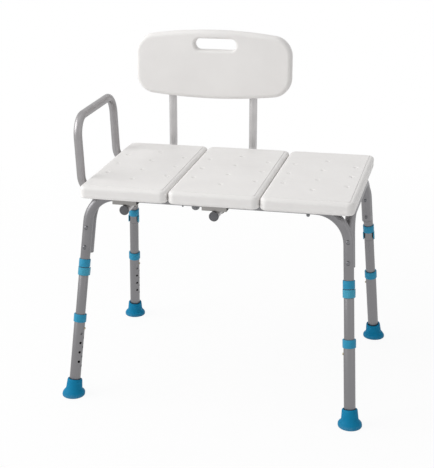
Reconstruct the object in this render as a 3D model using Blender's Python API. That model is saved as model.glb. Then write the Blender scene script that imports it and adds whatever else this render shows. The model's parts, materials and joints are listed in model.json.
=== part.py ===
"""Tub transfer bench: three moulded seat panels on a bent-tube frame, four telescoping legs,
a backrest on two L-shaped tubes and one hand loop at the left end.
Metres, +Z up, -Y is the sitter's front edge, floor at Z = 0, origin under the seat's centre."""
import math
import bpy
import bmesh
from mathutils import Vector

for ob in list(bpy.data.objects):
    bpy.data.objects.remove(ob, do_unlink=True)

# driving dimensions
GAP = 0.0003                         # air between pieces that touch
SEG = 12                             # sides of a round tube

LEG_X, LEG_Y = 0.3609, 0.2807        # where a leg's centre line meets the floor
LEAN_X, LEAN_Y = 0.0667, 0.1781      # how far a leg leans in for each metre of height

R_FRAME, R_LOWER = 0.0127, 0.0143    # 1 in frame and middle tubes, 1 1/8 in lower tubes
R_BACK, R_ARM = 0.0111, 0.0110       # 7/8 in back tubes and hand loop
WALL = 0.0012

Z_SEAT, PANEL_T = 0.5563, 0.0330     # seat height at the longest leg setting
PANEL_W, PANEL_D, PANEL_GAP = 0.2276, 0.4594, 0.0026
PANEL_CORNER = 0.0165
HOLE_DX, HOLE_DY, HOLE_R = 0.0795, 0.0895, 0.0021

BEND_RAIL, BEND_SIDE = (0.0733, 0.0850), 0.0523
SIDE_DROP = {-1: 0.0340, 1: 0.0185}   # side tube under the rail; the left one clears the hand loop
Z_SIDE_END = {-1: 0.3700, 1: 0.3835}   # left and right legs differ a little
Z_SCREWS = {-1: (0.4400, 0.3900), 1: (0.4515, 0.4015)}
R_SCREW = 0.0025
Z_SEAM = 0.3172                      # where the frame tube ends, behind the clip
NECK_L = 0.050                       # middle tube's neck inside the frame tube
CLIP_H, RING_H, RING_T = 0.0200, 0.0203, 0.0019
CLIP_T, CLIP_WING = 0.0024, 0.0078
R_PIN, PIN_IN = 0.0028, 0.0040

Z_BUTTON, PITCH, HOLES = 0.1791, 0.0254, 5
R_BUTTON, BUTTON_OUT = 0.0031, 0.0030
MIDDLE_BELOW = 0.0325                # middle tube under its button
COLLAR_H, COLLAR_T, COLLAR_ABOVE = 0.0206, 0.0020, 0.0365
FOOT_R, FOOT_H, FOOT_FLOOR = 0.0298, 0.0435, 0.0100
FOOT_T_LOW, FOOT_T_TOP = 0.0064, 0.0048

BACK_X = (-0.2284, 0.0018)           # the two back tubes
Y_BACK_FRONT, Y_POST, BEND_BACK = -0.2130, 0.2669, 0.0628
POST_H = 0.2500                      # post above the seat top
BP_X, BP_W, BP_H, BP_T = -0.1090, 0.4380, 0.1889, 0.0270
POST_OVER, BP_CORNER = 0.0263, 0.046   # post top above the panel centre
CROWN_TOP, CROWN_LOW = 0.0200, 0.0160
SLOT_X, SLOT_UP, SLOT_L, SLOT_H = -0.1012, 0.0563, 0.117, 0.0314
R_BP_SCREW = 0.0020

PLATE_W, PLATE_T = 0.0628, 0.0012
PLATE_IN = 0.1280
HOOP_Y, HOOP_L, HOOP_T, HOOP_EAR = 0.1413, 0.0160, 0.0016, 0.0075
BACK_AIR = 0.0018                    # lets the back tubes and their plugs slide through
PLUG_OVER, PLUG_T = 0.0013, 0.0042   # plug's flange past the tube, and its thickness
SADDLE_DX = 0.0220

ARM_Y, ARM_TOP, ARM_END, ARM_AIR = 0.1476, 0.1518, 0.2634, 0.0015
ARM_X, ARM_LEAN, BEND_ARM = 0.3612, 0.0437, 0.050
STRAP_X, STRAP_L, STRAP_EAR, STRAP_DY = 0.2770, 0.0200, 0.0125, 0.0190
R_VENT, NOTCH_AIR = 0.0015, 0.0008   # vent in the loop's end plugs; air round it in the panel

NUT_IN, TIP_IN = 0.1314, 0.0301      # in from the leg's line; in from the middle panel's left side
KNOB_X, KNOB_Y, KNOB_R, KNOB_H, KNOB_DROP = -0.0649, -0.1308, 0.0105, 0.0185, 0.0225
R_STUD = 0.0030

# sizes that follow
Z_BOT = Z_SEAT - PANEL_T
Z_RAIL = Z_BOT                       # half of each rail sits in the panels' grooves
Z_SIDE = {side: Z_RAIL - drop for side, drop in SIDE_DROP.items()}
PANEL_PITCH = PANEL_W + PANEL_GAP
RAIL_Y = LEG_Y - LEAN_Y * Z_RAIL
Z_PLATE = Z_RAIL - R_FRAME - GAP - PLATE_T
PLATE_LIP = Z_BOT - GAP - Z_PLATE    # upturned edge, up to the panels
Z_BACK_RUN = Z_PLATE - BACK_AIR - R_BACK
PLATE_OUT = {-1: -Y_BACK_FRONT - GAP, 1: Y_POST - BEND_BACK - GAP}   # plug and bend stay clear
Z_ARM_RUN = Z_BOT - ARM_AIR - R_ARM
R_NECK = R_FRAME - WALL - GAP
SIDE_STEP = 2 * R_FRAME + GAP        # side tube beside the rail's leg
Z_ARM_TOP = Z_SEAT + ARM_TOP
ARM_TOP_X = -(ARM_X + ARM_LEAN * (Z_ARM_TOP - Z_ARM_RUN))
BP_Z = Z_SEAT + POST_H - POST_OVER
NUT_X, TIP_X = LEG_X - NUT_IN, TIP_IN - PANEL_W / 2
LEGS = {"front_left": (-1, -1), "front_right": (1, -1), "rear_left": (-1, 1), "rear_right": (1, 1)}
Z_AXIS = Vector((0, 0, 1))

LOOK = {
    "plastic": ((0.86, 0.86, 0.85), 0.45, 0.0),
    "aluminium": ((0.60, 0.60, 0.61), 0.38, 1.0),
    "blue": ((0.02, 0.33, 0.52), 0.5, 0.0),
    "clip_blue": ((0.06, 0.45, 0.62), 0.5, 0.0),
    "rubber": ((0.02, 0.27, 0.42), 0.75, 0.0),
    "dark": ((0.10, 0.10, 0.11), 0.55, 0.0),
    "steel": ((0.45, 0.45, 0.46), 0.3, 1.0),
    "navy": ((0.03, 0.04, 0.07), 0.35, 0.0),
    "button": ((0.60, 0.52, 0.36), 0.3, 1.0),
}


def finish(name, bm, look, at=(0, 0, 0)):
    """Make the bmesh into an object whose origin is at `at`."""
    bmesh.ops.remove_doubles(bm, verts=bm.verts[:], dist=1e-6)
    bmesh.ops.recalc_face_normals(bm, faces=bm.faces[:])
    bmesh.ops.translate(bm, verts=bm.verts[:], vec=-Vector(at))
    me = bpy.data.meshes.new(name)
    bm.to_mesh(me)
    bm.free()
    me.shade_smooth()
    me.set_sharp_from_angle(angle=math.radians(35))
    ob = bpy.data.objects.new(name, me)
    ob.location = at
    bpy.context.scene.collection.objects.link(ob)
    rgb, rough, metal = LOOK[look]
    mat = bpy.data.materials.new(name)
    mat.use_nodes = True
    shader = mat.node_tree.nodes["Principled BSDF"]
    shader.inputs["Base Color"].default_value = (*rgb, 1.0)
    shader.inputs["Roughness"].default_value = rough
    shader.inputs["Metallic"].default_value = metal
    me.materials.append(mat)
    return ob


def combine(ob, other, op):
    """Cut or join `other` into `ob` for good, then remove `other`."""
    mod = ob.modifiers.new(op.lower(), "BOOLEAN")
    mod.operation, mod.solver, mod.object = op, "EXACT", other
    mod.use_self = True                                # cutters may cross one another
    me = bpy.data.meshes.new_from_object(ob.evaluated_get(bpy.context.evaluated_depsgraph_get()))
    ob.modifiers.remove(mod)
    ob.data = me
    me.name = ob.name
    bm = bmesh.new()
    bm.from_mesh(me)
    bmesh.ops.remove_doubles(bm, verts=bm.verts[:], dist=2e-6)
    bmesh.ops.dissolve_degenerate(bm, edges=bm.edges[:], dist=2e-6)
    bm.to_mesh(me)
    bm.free()
    me.set_sharp_from_angle(angle=math.radians(35))
    bpy.data.objects.remove(other, do_unlink=True)
    return ob


def cut(ob, shape):
    return combine(ob, finish("cutter", shape, "dark"), "DIFFERENCE")


def join(ob, shape):
    return combine(ob, finish("added", shape, "dark"), "UNION")


def circle(c, t, r, n=SEG, ref=(1, 0, 0)):
    """Points of a circle round c, square to t, the first one towards ref."""
    t, ref = Vector(t).normalized(), Vector(ref).normalized()
    u = (ref - t * ref.dot(t)).normalized()
    v = t.cross(u)
    return [Vector(c) + (u * math.cos(2 * math.pi * k / n) + v * math.sin(2 * math.pi * k / n)) * r
            for k in range(n)]


def skin(bm, rings, closed=False):
    """Faces between successive rings; the ends are capped unless the rings close on themselves."""
    loops = [[bm.verts.new(p) for p in ring] for ring in rings]
    for a, b in zip(loops, loops[1:] + (loops[:1] if closed else [])):
        for k in range(len(a)):
            bm.faces.new((a[k - 1], a[k], b[k], b[k - 1]))
    if not closed:
        bm.faces.new(loops[0])
        bm.faces.new(loops[-1])


def turn(bm, base, axis, profile, n=SEG, ref=(1, 0, 0), hollow=False):
    """Spin a profile of (height along axis, radius) pairs; a hollow one closes on itself."""
    axis, ref = Vector(axis).normalized(), Vector(ref).normalized()
    side = (ref - axis * ref.dot(axis)).normalized()
    vs = [bm.verts.new(Vector(base) + axis * h + side * r) for h, r in profile]
    es = [bm.edges.new(pair) for pair in zip(vs, vs[1:])]
    if hollow:
        es.append(bm.edges.new((vs[-1], vs[0])))
    bmesh.ops.spin(bm, geom=vs + es, cent=base, axis=axis, angle=2 * math.pi, steps=n,
                   use_merge=True)
    if not hollow:
        bmesh.ops.holes_fill(bm, edges=[e for e in bm.edges if e.is_boundary], sides=0)


def rod(bm, a, b, r, n=10, ref=(1, 0, 0)):
    """Plain round bar from a to b."""
    a, b = Vector(a), Vector(b)
    if abs((b - a).normalized().dot(Vector(ref).normalized())) > 0.9:
        ref = Z_AXIS
    skin(bm, [circle(a, b - a, r, n, ref), circle(b, b - a, r, n, ref)])


def bent(corners, radius, steps=4):
    """Corner points to (point, direction) pairs along straight runs and round bends."""
    pts = [Vector(p) for p in corners]
    radii = radius if isinstance(radius, tuple) else (radius,) * (len(pts) - 2)
    out = [(pts[0], (pts[1] - pts[0]).normalized())]
    for before, here, after, radius in zip(pts, pts[1:], pts[2:], radii):
        d1, d2 = (here - before).normalized(), (after - here).normalized()
        phi = d1.angle(d2)
        side = (d2 - d1 * d1.dot(d2)).normalized()
        mid = here - d1 * radius * math.tan(phi / 2) + side * radius
        for k in range(steps + 1):
            b = phi * k / steps
            out.append((mid - side * radius * math.cos(b) + d1 * radius * math.sin(b),
                        d1 * math.cos(b) + side * math.sin(b)))
    out.append((pts[-1], (pts[-1] - pts[-2]).normalized()))
    return out


def swept(path, r, ref):
    """Circles carried along (point, direction) pairs without twist."""
    u, prev, out = Vector(ref), path[0][1], []
    for p, t in path:
        u = prev.rotation_difference(t) @ u
        prev = t
        out.append(circle(p, t, r, SEG, u))
    return out


def tube(bm, path, r, ref):
    """Hollow tube along a path, open at both ends."""
    skin(bm, swept(path, r, ref) + swept(path, r - WALL, ref)[::-1], closed=True)


def rounded_rect(cx, cy, hx, hy, rc, z, steps=3):
    out = []
    for sx, sy, a0 in ((1, 1, 0), (-1, 1, 90), (-1, -1, 180), (1, -1, 270)):
        for k in range(steps + 1):
            a = math.radians(a0 + 90.0 * k / steps)
            out.append(Vector((cx + sx * (hx - rc) + rc * math.cos(a),
                               cy + sy * (hy - rc) + rc * math.sin(a), z)))
    return out


def half_round(r, steps=8):
    """Points of the lower half circle, from -X to +X."""
    return [(-r * math.cos(math.pi * k / steps), -r * math.sin(math.pi * k / steps))
            for k in range(steps + 1)]


def leg_point(leg, z):
    """The point on a leg's centre line at height z."""
    sx, sy = LEGS[leg]
    return Vector((sx * (LEG_X - LEAN_X * z), sy * (LEG_Y - LEAN_Y * z), z))


def leg_frame(leg):
    """Unit axis (up), direction in towards the other side, direction out to front or back."""
    a = (leg_point(leg, 1.0) - leg_point(leg, 0.0)).normalized()
    e = (Vector((1, 0, 0)) - a * a.x).normalized()
    return a, e * -LEGS[leg][0], a.cross(e) * LEGS[leg][1]


RISE = leg_frame("front_left")[0].z   # height gained for each metre along a leg
Z_CLIP = (Z_SEAM + 0.0008, Z_SEAM + 0.0008 + CLIP_H * RISE)
Z_RING = (Z_CLIP[1] + 0.0017, Z_CLIP[1] + 0.0017 + RING_H * RISE)
Z_COLLAR = (Z_BUTTON + COLLAR_ABOVE - COLLAR_H * RISE, Z_BUTTON + COLLAR_ABOVE)

rail_path = {end: bent([leg_point(end + side, z) for side, z in
                        (("_left", Z_SEAM), ("_left", Z_RAIL), ("_right", Z_RAIL),
                         ("_right", Z_SEAM))], BEND_RAIL) for end in ("front", "rear")}

# seat panels
FASTENERS = [NUT_X, TIP_X] + [x + s * SADDLE_DX for x in BACK_X for s in (-1, 1)]
EDGE = ((0.0040, 0.0), (0.0, 0.0040), (0.0, PANEL_T - 0.0098), (0.0013, PANEL_T - 0.0052),
        (0.0050, PANEL_T - 0.0017), (0.0113, PANEL_T - 0.0006), (0.0124, PANEL_T))
for k, name in enumerate(("seat_panel_left", "seat_panel_middle", "seat_panel_right")):
    cx = (k - 1) * PANEL_PITCH
    bm = bmesh.new()
    skin(bm, [rounded_rect(cx, 0, PANEL_W / 2 - i, PANEL_D / 2 - i, PANEL_CORNER - i * 0.6,
                           Z_BOT + h) for i, h in EDGE])
    panel = finish(name, bm, "plastic")
    if k == 1:
        bm = bmesh.new()
        rod(bm, (KNOB_X, KNOB_Y, Z_BOT - KNOB_DROP + GAP), (KNOB_X, KNOB_Y, Z_BOT + 0.006),
            R_STUD + 0.006, 12)
        join(panel, bm)
    bm = bmesh.new()
    for dx, ys in ((-HOLE_DX, (-1, 0, 1)), (0, (-1.5, -0.5, 0.5, 1.5)), (HOLE_DX, (-1, 0, 1))):
        for y in ys:
            turn(bm, (cx + dx, y * HOLE_DY, Z_BOT), Z_AXIS,
                 ((-0.002, HOLE_R), (PANEL_T - 0.0030, HOLE_R),
                  (PANEL_T + 0.0004, HOLE_R + 0.0032)), 8)
    for sy in (-1, 1):
        end = "front" if sy < 0 else "rear"
        skin(bm, swept(rail_path[end], R_FRAME + GAP, leg_frame(end + "_left")[1]))
        for x in FASTENERS:
            if abs(x - cx) < PANEL_W / 2:
                rod(bm, (x, sy * RAIL_Y, Z_RAIL), (x, sy * RAIL_Y, Z_SEAT - 0.0085),
                    R_SCREW + GAP, 8)
        if k == 0:
            for s in (-1, 1):
                y = sy * ARM_Y + s * STRAP_DY
                rod(bm, (-STRAP_X, y, Z_BOT - 0.01), (-STRAP_X, y, Z_BOT + 0.0155), 0.0020, 8)
            # notch for the hand loop's bend
            y = sy * ARM_Y
            path = bent([(-ARM_END, y, Z_ARM_RUN), (-ARM_X, y, Z_ARM_RUN),
                         (ARM_TOP_X, y, Z_ARM_TOP)], BEND_ARM)
            skin(bm, swept(path, R_ARM + NOTCH_AIR, (0, 1, 0)))
    if k == 1:
        rod(bm, (KNOB_X, KNOB_Y, Z_BOT - KNOB_DROP - 0.01), (KNOB_X, KNOB_Y, Z_SEAT - 0.0130),
            R_STUD + GAP, 10)
    cut(panel, bm)

# rails
for end, sy in (("front", -1), ("rear", 1)):
    left, right = end + "_left", end + "_right"
    bm = bmesh.new()
    tube(bm, rail_path[end], R_FRAME, leg_frame(left)[1])
    rail = finish(f"rail_{end}", bm, "aluminium")
    bm = bmesh.new()
    y = sy * RAIL_Y
    for x in FASTENERS:
        rod(bm, (x, y, Z_RAIL - 0.02), (x, y, Z_RAIL + 0.02), R_SCREW + GAP, 8)
    for leg in (left, right):
        a, inward, out = leg_frame(leg)
        for z in Z_SCREWS[LEGS[leg][0]]:
            p = leg_point(leg, z)
            rod(bm, p - out * 0.02, p + out * 0.02, R_SCREW + GAP, 8, a)
        p = leg_point(leg, sum(Z_CLIP) / 2)
        rod(bm, p, p + out * 0.02, R_PIN + GAP, 8, a)
    cut(rail, bm)

# side tubes, bolted beside the rails' legs
for name, front, rear in (("side_tube_left", "front_left", "rear_left"),
                          ("side_tube_right", "front_right", "rear_right")):
    corners = []
    z_end = Z_SIDE_END[LEGS[front][0]]
    z_top = Z_SIDE[LEGS[front][0]]
    for leg, z in ((front, z_end), (front, z_top), (rear, z_top), (rear, z_end)):
        a, inward, out = leg_frame(leg)
        p = leg_point(leg, z) - out * SIDE_STEP
        corners.append(p + a * ((z - p.z) / RISE))
    bm = bmesh.new()
    tube(bm, bent(corners, BEND_SIDE), R_FRAME, leg_frame(front)[1])
    side = finish(name, bm, "aluminium")
    bm = bmesh.new()
    for leg in (front, rear):
        a, inward, out = leg_frame(leg)
        for z in Z_SCREWS[LEGS[leg][0]]:
            p = leg_point(leg, z)
            rod(bm, p - out * (SIDE_STEP + 0.02), p - out * 0.004, R_SCREW + GAP, 8, a)
    cut(side, bm)


def sleeve(name, leg, z0, z1, bore, t, look, at, lip=None):
    """Short collar round a leg line; a lip narrows its top."""
    a, inward, out = leg_frame(leg)
    length, e, r = (z1 - z0) / RISE, 0.0008, bore + t
    profile = [(0, bore), (0, r - e), (e, r), (length - e, r), (length, r - e)]
    if lip:
        profile += [(length, lip), (length - 0.0016, lip), (length - 0.0016, bore)]
    else:
        profile += [(length, bore)]
    b = bmesh.new()
    turn(b, leg_point(leg, z0), a, profile, SEG, inward, hollow=True)
    return finish(name, b, look, at)


# legs
groups = {}
for leg in LEGS:
    a, inward, out = leg_frame(leg)
    ground = leg_point(leg, 0.0)
    across = inward.cross(a)
    second = (inward + across).normalized()            # an eighth of a turn clockwise from above
    button = leg_point(leg, Z_BUTTON)
    f = R_FRAME + GAP

    for z, place in zip(Z_SCREWS[LEGS[leg][0]], ("upper", "lower")):
        bm = bmesh.new()
        inner = -(SIDE_STEP + f)
        turn(bm, leg_point(leg, z), out,
             ((inner - 0.0017, 0.0030), (inner, 0.0042), (inner, R_SCREW), (f, R_SCREW),
              (f, 0.0050), (f + 0.0025, 0.0030)), 8, a)
        finish(f"corner_screw_{place}_{leg}", bm, "steel")

    sleeve(f"frame_collar_{leg}", leg, *Z_RING, f, RING_T, "blue", ground)

    # locking clip: a U round the tube, closed on its outer side, with a pin
    p, length = leg_point(leg, Z_CLIP[0]), (Z_CLIP[1] - Z_CLIP[0]) / RISE
    centre = p + a * (length / 2)
    arc = [(math.cos(math.pi * k / 8), math.sin(math.pi * k / 8)) for k in range(9)]
    r = f + CLIP_T
    outline = [(r * c, r * s) for c, s in arc]
    outline += [(-r, 0.0015 - CLIP_WING), (-r + 0.0008, -CLIP_WING), (-f, -CLIP_WING)]
    outline += [(-f * c, f * s) for c, s in arc]
    outline += [(f, -CLIP_WING), (r - 0.0008, -CLIP_WING), (r, 0.0015 - CLIP_WING)]
    bm = bmesh.new()
    skin(bm, [[p + inward * u + out * v + a * h for u, v in outline] for h in (0.0, length)])
    clip = finish(f"lock_clip_{leg}", bm, "clip_blue", centre)
    bm = bmesh.new()
    rod(bm, centre + out * (f + CLIP_T / 2), centre + out * (f - WALL * 2 - PIN_IN), R_PIN, 8, a)
    join(clip, bm)

    # middle tube, with a reduced neck that enters the frame tube
    z_low = Z_BUTTON - MIDDLE_BELOW
    shoulder = (Z_SEAM - z_low) / RISE - GAP
    bm = bmesh.new()
    turn(bm, leg_point(leg, z_low), a,
         ((0, R_FRAME), (shoulder, R_FRAME), (shoulder, R_NECK), (shoulder + NECK_L, R_NECK),
          (shoulder + NECK_L, R_NECK - WALL), (shoulder - 0.005, R_NECK - WALL),
          (shoulder - 0.008, R_FRAME - WALL), (0, R_FRAME - WALL)), SEG, inward, hollow=True)
    middle = finish(f"middle_tube_{leg}", bm, "aluminium", leg_point(leg, z_low))
    bm = bmesh.new()
    rod(bm, button, button + inward * 0.02, R_BUTTON + GAP, 8, a)
    rod(bm, centre, centre + out * 0.02, R_PIN + GAP, 8, a)
    cut(middle, bm)

    # lower tube with two staggered columns of holes
    base, top = leg_point(leg, FOOT_FLOOR), (Z_COLLAR[1] - FOOT_FLOOR) / RISE - 0.0018
    bm = bmesh.new()
    turn(bm, base, a, ((0, R_LOWER), (top, R_LOWER), (top, R_LOWER - WALL), (0, R_LOWER - WALL)),
         SEG, inward, hollow=True)
    lower = finish(f"lower_tube_{leg}", bm, "aluminium", ground)
    bm = bmesh.new()
    for k in range(HOLES):
        p = button - a * (k * PITCH)
        rod(bm, p, p + inward * 0.02, R_BUTTON + GAP, 8, a)
        if k < HOLES - 1:
            p -= a * (PITCH / 2)
            rod(bm, p, p + second * 0.02, R_BUTTON + GAP, 8, a)
    cut(lower, bm)
    collar = sleeve(f"leg_collar_{leg}", leg, *Z_COLLAR, R_LOWER + GAP, COLLAR_T, "blue", ground,
                    lip=f)

    # snap button riveted to the near leaf of its bent spring
    tip, near, th, w = R_LOWER + BUTTON_OUT, R_FRAME - WALL - 0.0012, 0.0007, 0.0034
    bm = bmesh.new()
    leaf = ((near, 0.005), (near, -0.005), (0.003, -0.028), (-0.002, -0.028), (-0.0048, -0.005),
            (-0.0048, 0.004), (-0.0048 + th, 0.004), (-0.0048 + th, -0.005),
            (-0.002 + th, -0.028 + th), (0.003 - th, -0.028 + th), (near - th, -0.005),
            (near - th, 0.005))
    skin(bm, [[button + inward * u + a * h + across * s for u, h in leaf] for s in (-w, w)])
    press = finish(f"snap_button_{leg}", bm, "button", button)
    bm = bmesh.new()
    turn(bm, button, inward, ((near - 0.0004, R_BUTTON), (tip - 0.0012, R_BUTTON),
                              (tip, R_BUTTON * 0.6)), 8, a)
    join(press, bm)

    # flared foot: its base lies flat on the floor and its sleeve follows the leg
    bore = R_LOWER + GAP
    r_low, r_top = bore + FOOT_T_LOW, bore + FOOT_T_TOP
    rings = []
    for z, r, mix in ((0.0, FOOT_R - 0.0012, 0), (0.0012, FOOT_R, 0), (0.0070, FOOT_R, 0),
                      (0.0088, FOOT_R - 0.0014, 0), (0.0130, r_low + 0.0036, 0.4),
                      (0.0185, r_low, 1), (FOOT_H - 0.0020, r_top, 1),
                      (FOOT_H, r_top - 0.0020, 1)):
        t = Z_AXIS * (1 - mix) + a * mix
        rings.append(circle(leg_point(leg, z), t, r, SEG, inward))
    rings += [circle(leg_point(leg, z), a, bore, SEG, inward)
              for z in (FOOT_H - 0.0004, FOOT_FLOOR - GAP)]
    bm = bmesh.new()
    skin(bm, rings)
    foot = finish(f"foot_{leg}", bm, "rubber", ground)
    groups[f"lower_leg_{leg}"] = (ground, [lower, collar, foot])

# nuts and screws of the seat
z_under = Z_RAIL - R_FRAME - GAP
shank = Z_SEAT - 0.0095 - z_under
for end, sy in (("front", -1), ("rear", 1)):
    y = sy * RAIL_Y
    bm = bmesh.new()
    turn(bm, (NUT_X, y, z_under), Z_AXIS,
         ((-0.0068, 0.0024), (-0.0048, 0.0045), (0.0, 0.0047), (0.0, R_SCREW),
          (shank, R_SCREW)), 10)
    finish(f"cap_nut_{end}", bm, "navy")
    bm = bmesh.new()
    turn(bm, (TIP_X, y, z_under), Z_AXIS,
         ((-0.0036, 0.0010), (-0.0022, 0.0022), (0.0, R_SCREW), (shank, R_SCREW)), 8)
    finish(f"panel_screw_{end}", bm, "steel")

# saddles that carry the back tubes, each with its two screws
for side, x in zip(("left", "middle"), BACK_X):
    for end, sy in (("front", -1), ("rear", 1)):
        z0, z1 = Z_PLATE, Z_PLATE + PLATE_T
        y_in, y_out = sy * PLATE_IN, sy * PLATE_OUT[sy]
        section = ((y_in, z0), (y_in, z1), (y_out - sy * PLATE_T, z1),
                   (y_out - sy * PLATE_T, z0 + PLATE_LIP), (y_out, z0 + PLATE_LIP), (y_out, z0))
        bm = bmesh.new()
        skin(bm, [[Vector((x + dx, yy, zz)) for yy, zz in section]
                  for dx in (-PLATE_W / 2, PLATE_W / 2)])
        saddle = finish(f"saddle_{end}_{side}", bm, "aluminium")
        ri = R_BACK + BACK_AIR
        ro, ear = ri + HOOP_T, ri + HOOP_T + HOOP_EAR
        section = [(-ear, z0 + 0.0004), (-ear, z0 - HOOP_T), (-ro, z0 - HOOP_T)]
        section += [(u, Z_BACK_RUN + w) for u, w in half_round(ro)]
        section += [(ro, z0 - HOOP_T), (ear, z0 - HOOP_T), (ear, z0 + 0.0004), (ri, z0 + 0.0004)]
        section += [(u, Z_BACK_RUN + w) for u, w in reversed(half_round(ri))]
        section += [(-ri, z0 + 0.0004)]
        bm = bmesh.new()
        skin(bm, [[Vector((x + u, sy * HOOP_Y + dy, zz)) for u, zz in section]
                  for dy in (-HOOP_L / 2, HOOP_L / 2)])
        join(saddle, bm)
        bm = bmesh.new()
        for s in (-1, 1):
            turn(bm, (x + s * SADDLE_DX, sy * RAIL_Y, z0), Z_AXIS,
                 ((-0.0016, 0.0030), (0.0002, 0.0044), (0.0002, R_SCREW),
                  (Z_SEAT - 0.0095 - z0, R_SCREW)), 8)
        join(saddle, bm)

# backrest
BP_SCREWS = (BP_Z - 0.050, BP_Z + 0.012)
backrest = []
for side, x in zip(("left", "right"), BACK_X):
    path = bent([(x, Y_BACK_FRONT, Z_BACK_RUN), (x, Y_POST, Z_BACK_RUN),
                 (x, Y_POST, Z_SEAT + POST_H)], BEND_BACK)
    at = (x, Y_BACK_FRONT, Z_BACK_RUN)
    bm = bmesh.new()
    tube(bm, path, R_BACK, (1, 0, 0))
    post = finish(f"back_tube_{side}", bm, "aluminium", at)
    bm = bmesh.new()
    for z in BP_SCREWS:
        turn(bm, (x, Y_POST, z), (0, 1, 0),
             ((-0.0185, R_BP_SCREW / 2), (-0.0165, R_BP_SCREW), (R_BACK - 0.0002, R_BP_SCREW),
              (R_BACK - 0.0002, 0.0040), (R_BACK + 0.0020, 0.0026)), 8)
    join(post, bm)
    bore = R_BACK - WALL - GAP
    bm = bmesh.new()
    turn(bm, at, (0, -1, 0), ((-0.010, bore), (GAP, bore), (GAP, R_BACK + PLUG_OVER),
                              (PLUG_T - 0.0008, R_BACK + PLUG_OVER), (PLUG_T, R_BACK)), SEG)
    backrest += [post, finish(f"back_tube_plug_{side}", bm, "dark", at)]


def back_outline(inset, n_corner=4, n_edge=5):
    """Rounded rectangle in X and Z whose top and bottom edges are crowned."""
    hw, hh, rc = BP_W / 2 - inset, BP_H / 2 - inset, BP_CORNER - inset * 0.8
    pts = []
    for sx, sz, a0 in ((1, 1, 0), (-1, 1, 90), (-1, -1, 180), (1, -1, 270)):
        crown = CROWN_TOP if sz > 0 else CROWN_LOW
        for k in range(n_corner + 1):
            a = math.radians(a0 + 90.0 * k / n_corner)
            pts.append([sx * (hw - rc) + rc * math.cos(a),
                        sz * (hh - crown - rc) + rc * math.sin(a)])
        if sx == sz:
            pts += [[sx * (hw - rc) * (1 - 2.0 * k / n_edge), sz * (hh - crown)]
                    for k in range(1, n_edge)]
    for p in pts:
        s, crown = (1, CROWN_TOP) if p[1] > 0 else (-1, CROWN_LOW)
        p[1] += s * crown * (1 - (p[0] / hw) ** 2) * min(1.0, abs(p[1]) / (0.6 * hh))
    return pts


y_back, y_front = Y_POST, Y_POST - BP_T
bm = bmesh.new()
skin(bm, [[Vector((BP_X + u, y, BP_Z + v)) for u, v in back_outline(inset)]
          for inset, y in ((0.006, y_back), (0.0, y_back - 0.006), (0.0, y_front + 0.0115),
                           (0.0025, y_front + 0.0050), (0.0075, y_front + 0.0013),
                           (0.0150, y_front))])
back = finish("back_panel", bm, "plastic", (BP_X, y_back, BP_Z))


def slot(grow, y):
    r, half = SLOT_H / 2 + grow, (SLOT_L - SLOT_H) / 2
    return [Vector((SLOT_X + s * half + r * math.cos(math.radians(a0 + 30 * k)), y,
                    BP_Z + SLOT_UP + r * math.sin(math.radians(a0 + 30 * k))))
            for s, a0 in ((1, -90), (-1, 90)) for k in range(7)]


bm = bmesh.new()
skin(bm, [slot(0.0055, y_front - 0.0005), slot(0.0018, y_front + 0.0020),
          slot(0.0, y_front + 0.0075), slot(0.0, y_back + 0.0004)])
for x in BACK_X:
    rod(bm, (x, Y_POST, BP_Z - BP_H), (x, Y_POST, Z_SEAT + POST_H + 0.003), R_BACK + GAP, SEG)
    for z in BP_SCREWS:
        rod(bm, (x, Y_POST, z), (x, Y_POST - 0.0195, z), R_BP_SCREW + GAP, 8)
cut(back, bm)
groups["backrest"] = (Vector((BP_X, Y_BACK_FRONT, Z_BACK_RUN)), backrest + [back])

# hand knob under the middle panel
bm = bmesh.new()
base = Vector((KNOB_X, KNOB_Y, Z_BOT - KNOB_DROP - KNOB_H))
turn(bm, base, Z_AXIS, ((0, 0.0060), (0.0026, KNOB_R - 0.0016), (0.0070, KNOB_R),
                        (KNOB_H, KNOB_R - 0.0010), (KNOB_H, R_STUD),
                        (KNOB_H + KNOB_DROP + 0.0185, R_STUD)), 12)
finish("hand_knob", bm, "navy", base)

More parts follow.
